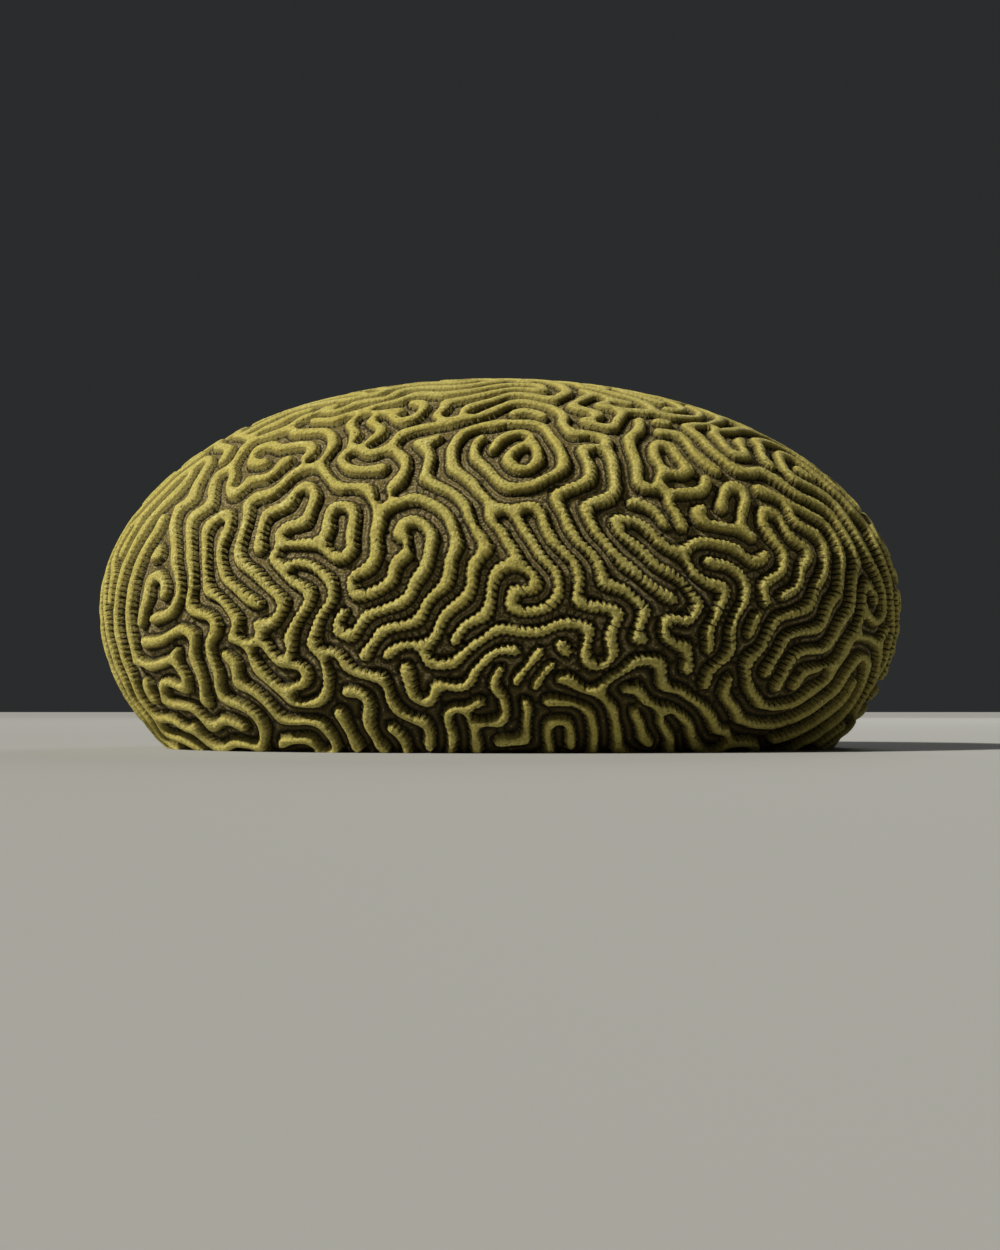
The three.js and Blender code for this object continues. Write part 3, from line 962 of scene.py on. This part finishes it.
def lay_banks(rows, outlines, feet, sizes, rng):
    """A bank lies between the foot of a ridge and the middle of the valley."""
    bank = outlines.points - outlines.inward * (BANK_SHARE * outlines.to_valley)[:, None]
    bank = spaced(bank[outlines.column % 2 == 0], feet, BANK_GAPS)
    depth = valley_depths(bank, sizes) + rng.normal(0, BANK_UNEVEN, len(bank))
    # Nearer 0 where the colony is rugged, which paints the bank darker as shade.
    rise = BANK_SHARE * VALLEY_RISE * (1 - BANK_SHADE * ruggedness(bank, sizes.seed))
    rows.add(bank, depth, rise, 1.0)
    return bank


def lay_valleys(rows, outlines, sides, sizes, rng):
    valley = spaced(outlines.points - outlines.inward * outlines.to_valley[:, None], sides, VALLEY_GAPS)
    depth = valley_depths(valley, sizes) + rng.normal(-FLOOR_RISE, FLOOR_UNEVEN, len(valley))
    # Nearer 0 where the colony is rugged, which paints the valley darker as shade.
    rise = VALLEY_RISE * (1 - FLOOR_SHADE * ruggedness(valley, sizes.seed))
    rows.add(valley, depth, rise, 1.0)


def lay_rows(outlines, sizes, step):
    rng = np.random.default_rng(sizes.seed)
    rows = Rows()
    columns = Columns(outlines, sizes, rng)
    feet = lay_foot(rows, columns)
    shoulder = lay_shoulder(rows, columns, step)
    upper = lay_upper_side(rows, columns, shoulder, step)
    lay_crests(rows, columns, np.vstack([shoulder, upper]), rng)
    banks = lay_banks(rows, outlines, feet, sizes, rng)
    lay_valleys(rows, outlines, np.vstack([feet, banks]), sizes, rng)
    return rows


def flat_chart(points):
    """The envelope's points spread on a plane, so that near neighbours stay so."""
    out = unit(points - MIDDLE)
    return out[:, :2] / (1 + out[:, 2:])


def joined(points):
    """Triangles that join points of the envelope, each with its nearest neighbours."""
    flat = [Vector(place) for place in flat_chart(points)]
    _, _, triangles, origins, _, _ = delaunay_2d_cdt(flat, [], [], 0, 1e-7, True)
    first = np.array([found[0] for found in origins])
    return first[np.array(triangles)]


def in_frame(points):
    """Metres of the frame for millimetres of the envelope, which fills the node's box above the cut."""
    low, high = (np.array(corner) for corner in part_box(NODE))
    around = envelope(sphere_of_directions()[0])
    around = around[around[:, 2] >= 0]
    own_low, own_high = around.min(0), around.max(0)
    own_low[2] = 0
    return low + (points - own_low) * (high - low) / (own_high - own_low)


def close_cut(bm, rim):
    """Closes the skin with flat faces, which take the second material."""
    filled = bmesh.ops.triangle_fill(bm, edges=rim, use_beauty=True, normal=(0, 0, -1))
    faces = [item for item in filled["geom"] if isinstance(item, bmesh.types.BMFace)]
    if not faces:
        raise RuntimeError("the cut underneath could not be closed")
    for face in faces:
        face.material_index = 1
        if face.normal.z > 0:
            face.normal_flip()


def trim(mesh):
    """Cuts the skin off at the floor and closes it there."""
    bm = bmesh.new()
    bm.from_mesh(mesh)
    everything = bm.verts[:] + bm.edges[:] + bm.faces[:]
    bmesh.ops.bisect_plane(bm, geom=everything, plane_co=(0, 0, 0), plane_no=(0, 0, 1), clear_inner=True)
    rim = [edge for edge in bm.edges if edge.is_boundary]
    close_cut(bm, rim)
    for edge in rim:
        edge.smooth = False
    for face in bm.faces:
        face.smooth = True
    lowest = [edge for edge in bm.edges if edge.verts[0].co.z < SLIVER * MM]
    bmesh.ops.dissolve_degenerate(bm, dist=SLIVER * MM, edges=lowest)
    bm.to_mesh(mesh)
    bm.free()


def add_bake_map(mesh):
    """One map without overlaps: the dome spread out from its crown, and the cut face below it."""
    corners = numbers_of(mesh.loops, "vertex_index", np.int32, 1)[:, 0]
    points = numbers_of(mesh.vertices, "co", np.float32, 3).astype(float) / MM
    out = directions_of(points)
    turned = np.arccos(np.clip(out[:, 2], -1, 1))
    level = out[:, :2] / np.maximum(np.linalg.norm(out[:, :2], axis=1, keepdims=True), 1e-9)
    reach = np.linalg.norm(level * (HALF_LENGTH, HALF_DEPTH), axis=1)
    dome = level * (turned * (0.55 * reach + 0.45 * RISE_ABOVE))[:, None] / DOME_MAP + DOME_MAP_MIDDLE
    under = points[:, :2] / CUT_MAP + CUT_MAP_MIDDLE
    faces = numbers_of(mesh.polygons, "material_index", np.int32, 1)[:, 0]
    on_cut = np.repeat(faces == 1, numbers_of(mesh.polygons, "loop_total", np.int32, 1)[:, 0])
    places = np.where(on_cut[:, None], under[corners], dome[corners])
    layer = mesh.uv_layers.new(name="OFBake")
    layer.uv.foreach_set("vector", places.astype(np.float32).ravel())


def store(mesh, name, values):
    attribute = mesh.attributes.new(name, "FLOAT", "POINT")
    attribute.data.foreach_set("value", values.astype(np.float32))


def ridge_level(net, wave, sizes):
    """The value of the wave at the feet of the ridges, which is higher where the ridges are narrower."""
    smooth, rugged = (np.quantile(wave, 1 - share) for share in (sizes.ridge_share, sizes.rugged_share))
    return smooth + (rugged - smooth) * ruggedness(net.points, sizes.seed)


def colony_mesh(sizes):
    step = sizes.septum_spacing / MM / 2
    net = Net()
    wave = grown_wave(net, sizes.ridge_spacing / MM, sizes.seed)
    outlines = Outlines(net, wave - ridge_level(net, wave, sizes), step)
    rows = lay_rows(outlines, sizes, step)
    points, rise, septum, on_chart = rows.skin()
    mesh = bpy.data.meshes.new("colony")
    mesh.from_pydata(in_frame(points).tolist(), [], joined(on_chart).tolist())
    store(mesh, "rise", rise)
    store(mesh, "septum", septum)
    trim(mesh)
    add_bake_map(mesh)
    mesh.validate()
    return mesh


# --- Materials ---


class Nodes:
    """Adds nodes to a tree by kind, with their settings, and links or sets their inputs by name or number."""

    def __init__(self, tree):
        self.tree = tree

    def add(self, kind, inputs=None, **settings):
        node = self.tree.nodes.new(kind)
        for name, value in settings.items():
            setattr(node, name, value)
        self.fill(node, inputs or {})
        return node

    def fill(self, node, inputs):
        for name, value in inputs.items():
            if isinstance(value, bpy.types.NodeSocket):
                self.tree.links.new(value, node.inputs[name])
            else:
                node.inputs[name].default_value = value

    def math(self, operation, *values):
        return self.add("ShaderNodeMath", dict(enumerate(values)), operation=operation).outputs[0]

    def between(self, value, low, high, out_low=0.0, out_high=1.0):
        inputs = {"Value": value, "From Min": low, "From Max": high, "To Min": out_low, "To Max": out_high}
        return self.add("ShaderNodeMapRange", inputs, interpolation_type="SMOOTHSTEP").outputs["Result"]

    def mix(self, factor, first, second, blend="MIX"):
        first, second = (self.with_alpha(colour) for colour in (first, second))
        node = self.add("ShaderNodeMix", data_type="RGBA", blend_type=blend)
        self.fill(node, {0: factor, 6: first, 7: second})
        return node.outputs[2]

    def with_alpha(self, colour):
        return colour if isinstance(colour, bpy.types.NodeSocket) else (*colour, 1.0)


def new_group(name, inputs, outputs):
    """An empty node group, its nodes, and the sockets inside it. Inputs are named with their defaults."""
    group = bpy.data.node_groups.new(name, "ShaderNodeTree")
    for label, default in inputs.items():
        socket = group.interface.new_socket(label, in_out="INPUT", socket_type="NodeSocketFloat")
        socket.default_value = default
    for label in outputs:
        group.interface.new_socket(label, in_out="OUTPUT", socket_type="NodeSocketFloat")
    nodes = Nodes(group)
    return group, nodes, nodes.add("NodeGroupInput").outputs, nodes.add("NodeGroupOutput").inputs


def skeleton_grain():
    """Grain of the skeleton: a fine rough height, pinprick pores, broad patches of tone, and beads."""
    group, nodes, given, result = new_group(
        "Skeleton Grain",
        {"Grain per Metre": 1600.0, "Pores per Metre": 700.0, "Pore Size": 0.25, "Patches per Metre": 45.0},
        ("Grain", "Pores", "Patches", "Beads"),
    )
    place = nodes.add("ShaderNodeTexCoord").outputs["Object"]
    pores = nodes.add("ShaderNodeTexVoronoi", {"Vector": place, "Scale": given["Pores per Metre"]})
    hole = nodes.math("LESS_THAN", pores.outputs["Distance"], given["Pore Size"])
    chosen = nodes.add("ShaderNodeSeparateColor", {"Color": pores.outputs["Color"]}).outputs["Red"]
    some = nodes.math("GREATER_THAN", chosen, 0.80)
    group.links.new(nodes.math("MULTIPLY", hole, some), result["Pores"])
    for label, scale, detail, roughness in (
        ("Grain", "Grain per Metre", 4.0, 0.65),
        ("Patches", "Patches per Metre", 3.0, 0.5),
        ("Beads", "Pores per Metre", 1.0, 0.5),
    ):
        inputs = {"Vector": place, "Scale": given[scale], "Detail": detail, "Roughness": roughness}
        group.links.new(nodes.add("ShaderNodeTexNoise", inputs).outputs["Fac"], result[label])
    return group


def new_material(name):
    material = bpy.data.materials.new(name)
    material.use_nodes = True
    tree = material.node_tree
    return material, Nodes(tree), tree.nodes["Principled BSDF"]


def valley_colour_and_shade(nodes, colours, rise, made):
    """Valley floor: painted shade darkening it towards the crevice at its edge and over more of it where the
    colony is rugged, painted shade in the grain's pitting, and broken light lines that follow the ridges.
    """
    across = nodes.math("MULTIPLY", rise, -1.0)
    # Painted shade: the floor darkens to the crevice colour near the ridges' feet, where its rise is near 0.
    colour = nodes.mix(nodes.between(across, 0.02, 0.26), colours.crevice, colours.valley)
    # Painted shade in the grain's pitting.
    pit_shade = nodes.between(made["Grain"], 0.47, 0.40, 0.0, 0.6)
    colour = nodes.mix(pit_shade, colour, colours.crevice)
    phase = nodes.math("MULTIPLY_ADD", across, 26.0, nodes.math("MULTIPLY", made["Beads"], 5.0))
    lines = nodes.between(nodes.math("SINE", phase), 0.3, 0.9)
    broken = nodes.between(made["Grain"], 0.45, 0.55, 0.1, 1.0)
    off_crevice = nodes.between(across, 0.05, 0.16)
    specks = nodes.math("MULTIPLY", nodes.math("MULTIPLY", lines, broken), off_crevice)
    return nodes.mix(nodes.math("MULTIPLY", specks, 0.9), colour, colours.speck)


def ridge_colour_shade_and_highlight(nodes, colours, rise, septum, made):
    """Ridge colour: its sides darken as painted shade from the crest to near black in the crevice at its
    foot, the slits are darkened as painted shade, and the edges of the septa take a painted highlight.
    """
    # Painted shade: the sides darken from the crest colour to the flank colour and to near black at the foot.
    colour = nodes.mix(nodes.between(rise, 0.10, 0.70), colours.crevice, colours.flank)
    colour = nodes.mix(nodes.between(rise, 0.74, 0.90), colour, colours.crest)
    tone = nodes.between(made["Patches"], 0.3, 0.7, 0.0, 0.35)
    colour = nodes.mix(tone, colour, colours.flank, "SOFT_LIGHT")
    # Painted shade in the slits between the septa.
    slit_shade = nodes.between(septum, 0.65, 0.05, 0.0, 0.30)
    colour = nodes.mix(slit_shade, colour, colours.flank)
    # Darker where the grain lies low: the grain's mottling, and painted shade in its hollows.
    hollows = nodes.between(made["Grain"], 0.53, 0.43, 0.0, 0.62)
    colour = nodes.mix(hollows, colour, colours.flank)
    # Painted highlight on the edges of the proud septa.
    edge = nodes.math("MULTIPLY", nodes.between(septum, 0.60, 0.95), nodes.between(made["Grain"], 0.44, 0.54))
    edge = nodes.math("MULTIPLY", edge, nodes.between(rise, 0.70, 0.82, 0.0, 0.80))
    return nodes.mix(edge, colour, colours.septa)


def ridge_relief(nodes, rise, septum, slit, made):
    """Fine height of the skin: grain, rougher in the valleys, raised septa, sunk slits and pores."""
    grain = nodes.math("MULTIPLY", made["Grain"], nodes.between(rise, 0.0, 0.8, 3.4, 1.5))
    raised = nodes.math("ADD", grain, nodes.between(septum, 0.0, 0.9, 0.0, 0.35))
    sunk = nodes.math("MULTIPLY_ADD", slit, 1.2, nodes.math("MULTIPLY", made["Pores"], 0.5))
    return nodes.math("SUBTRACT", raised, sunk)


def finish_skin(nodes, shader, colour, roughness, height, strength, distance):
    """Puts a material's colour, roughness and fine height on its shader."""
    bump = nodes.add("ShaderNodeBump", {"Height": height, "Strength": strength, "Distance": distance})
    nodes.tree.links.new(colour, shader.inputs["Base Color"])
    nodes.tree.links.new(roughness, shader.inputs["Roughness"])
    nodes.tree.links.new(bump.outputs["Normal"], shader.inputs["Normal"])


def ridge_material(colours, grain_group):
    material, nodes, shader = new_material("Coral skeleton")
    shader.inputs["Specular IOR Level"].default_value = 0.25
    rise = nodes.add("ShaderNodeAttribute", attribute_name="rise").outputs["Fac"]
    septum = nodes.add("ShaderNodeAttribute", attribute_name="septum").outputs["Fac"]
    made = nodes.add("ShaderNodeGroup", {"Pore Size": 0.2}, node_tree=grain_group).outputs
    slit = nodes.between(septum, -0.15, -0.55)
    on_ridge = nodes.math("GREATER_THAN", rise, 0.0)
    valley = valley_colour_and_shade(nodes, colours, rise, made)
    ridge = ridge_colour_shade_and_highlight(nodes, colours, rise, septum, made)
    colour = nodes.mix(on_ridge, valley, ridge)
    # Painted shade: the slits and the pores are darkened towards the crevice colour.
    colour = nodes.mix(nodes.math("MULTIPLY", slit, 0.92), colour, colours.crevice)
    colour = nodes.mix(nodes.math("MULTIPLY", made["Pores"], 0.6), colour, colours.crevice)
    roughness = nodes.between(made["Grain"], 0.3, 0.7, 0.70, 0.86)
    height = ridge_relief(nodes, rise, septum, slit, made)
    finish_skin(nodes, shader, colour, roughness, height, 0.9, 0.35 * MM)
    return material


def cut_material(colours, grain_group):
    material, nodes, shader = new_material("Cut skeleton")
    made = nodes.add("ShaderNodeGroup", {"Pore Size": 0.4}, node_tree=grain_group).outputs
    tone = nodes.between(made["Patches"], 0.3, 0.7, 0.0, 0.5)
    colour = nodes.mix(tone, colours.cut, colours.flank)
    # Painted shade in the pores.
    colour = nodes.mix(nodes.math("MULTIPLY", made["Pores"], 0.7), colour, colours.valley)
    roughness = nodes.between(made["Grain"], 0.3, 0.7, 0.75, 0.9)
    height = nodes.math("SUBTRACT", made["Grain"], made["Pores"])
    finish_skin(nodes, shader, colour, roughness, height, 0.8, 0.4 * MM)
    return material


# --- Stage ---

FLOOR_SIZE = 40.0
FLOOR_GAP = 0.05 * MM  # how far the floor lies under the cut
KEY_FROM = (-1.30, -0.62, 1.42)
KEY_SOFTNESS = math.radians(6)  # how wide the key looks from the coral
KEY_COLOUR = (1.0, 0.97, 0.90)
REAR_FROM = (0.6, 1.5, 1.2)
REAR_SIZE = 1.2
FILL_COLOUR = (0.80, 0.84, 0.86, 1.0)
CAMERA_DISTANCE = 0.4125  # in front of the coral's middle
CAMERA_HEIGHT = 0.0099  # above the cut
CAMERA_TILT = math.radians(3.32)
CAMERA_LENS = 42.91


def add_floor(context, look):
    mesh = bpy.data.meshes.new("floor")
    half = FLOOR_SIZE / 2
    corners = [(-half, -half, 0), (half, -half, 0), (half, half, 0), (-half, half, 0)]
    mesh.from_pydata(corners, [], [(0, 1, 2, 3)])
    material, _, shader = new_material("Pale floor")
    shader.inputs["Base Color"].default_value = (*look.floor_colour, 1.0)
    shader.inputs["Roughness"].default_value = 0.9
    mesh.materials.append(material)
    floor = bpy.data.objects.new("floor", mesh)
    floor.location.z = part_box(NODE)[0].z - FLOOR_GAP
    context.collection.objects.link(floor)


def add_lamp(context, light, place):
    low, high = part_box(NODE)
    lamp = bpy.data.objects.new(light.name, light)
    lamp.location = place
    lamp.rotation_euler = (Vector((low + high) / 2) - lamp.location).to_track_quat("-Z", "Y").to_euler()
    context.collection.objects.link(lamp)


def add_light(context, look):
    key = bpy.data.lights.new("key", "SUN")
    key.angle = KEY_SOFTNESS
    key.energy = look.key_strength
    key.color = KEY_COLOUR
    add_lamp(context, key, KEY_FROM)
    rear = bpy.data.lights.new("rear", "AREA")
    rear.shape = "DISK"
    rear.size = REAR_SIZE
    rear.energy = look.rear_power
    add_lamp(context, rear, REAR_FROM)
    world = bpy.data.worlds.new("Studio")
    world.use_nodes = True
    background = world.node_tree.nodes["Background"]
    background.inputs["Color"].default_value = FILL_COLOUR
    background.inputs["Strength"].default_value = look.fill_strength
    context.scene.world = world
    context.scene.view_settings.view_transform = "Standard"


def add_camera(context):
    camera = bpy.data.cameras.new("camera")
    camera.lens = CAMERA_LENS
    camera.clip_start = 0.01
    low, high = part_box(NODE)
    placed = bpy.data.objects.new("camera", camera)
    placed.location = ((low.x + high.x) / 2, (low.y + high.y) / 2 - CAMERA_DISTANCE, low.z + CAMERA_HEIGHT)
    placed.rotation_euler = (math.pi / 2 + CAMERA_TILT, 0, 0)
    context.collection.objects.link(placed)
    context.scene.camera = placed


# --- Operators and panel ---


class CORAL_OT_colony(bpy.types.Operator):
    """Grow the colony: one closed skin of ridges and valleys on the envelope, cut flat underneath"""

    bl_idname = "coral.colony"
    bl_label = "Grow Colony"

    def execute(self, context):
        mesh = colony_mesh(context.scene.coral_sizes)
        colours = context.scene.coral_colours
        grain_group = skeleton_grain()
        mesh.materials.append(ridge_material(colours, grain_group))
        mesh.materials.append(cut_material(colours, grain_group))
        colony = bpy.data.objects.new("colony", mesh)
        context.collection.objects.link(colony)
        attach(colony, BODY)
        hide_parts(NODE)
        return {"FINISHED"}


class CORAL_OT_stage(bpy.types.Operator):
    """Set the stage: a pale floor, soft light and the camera"""

    bl_idname = "coral.stage"
    bl_label = "Set Stage"

    def execute(self, context):
        look = context.scene.coral_stage
        add_floor(context, look)
        add_light(context, look)
        add_camera(context)
        return {"FINISHED"}


class CORAL_PT_panel(bpy.types.Panel):
    """Lists the colony's sizes, colours and steps"""

    bl_label = "Brain Coral Head"
    bl_idname = "CORAL_PT_panel"
    bl_space_type = "VIEW_3D"
    bl_region_type = "UI"
    bl_category = "Coral"

    def draw(self, context):
        for name in ("coral_sizes", "coral_colours", "coral_stage"):
            settings = getattr(context.scene, name)
            box = self.layout.box()
            for setting in settings.__annotations__:
                box.prop(settings, setting)
        for operator in (CORAL_OT_colony, CORAL_OT_stage):
            self.layout.operator(operator.bl_idname)


CLASSES = (ColonySizes, ColonyColours, StageLook, CORAL_OT_colony, CORAL_OT_stage, CORAL_PT_panel)


def register():
    for cls in CLASSES:
        bpy.utils.register_class(cls)
    bpy.types.Scene.coral_sizes = PointerProperty(type=ColonySizes)
    bpy.types.Scene.coral_colours = PointerProperty(type=ColonyColours)
    bpy.types.Scene.coral_stage = PointerProperty(type=StageLook)


def unregister():
    for name in ("coral_stage", "coral_colours", "coral_sizes"):
        delattr(bpy.types.Scene, name)
    for cls in reversed(CLASSES):
        bpy.utils.unregister_class(cls)


def main():
    register()
    bpy.ops.coral.colony()
    bpy.ops.coral.stage()


if __name__ == "__main__":
    main()
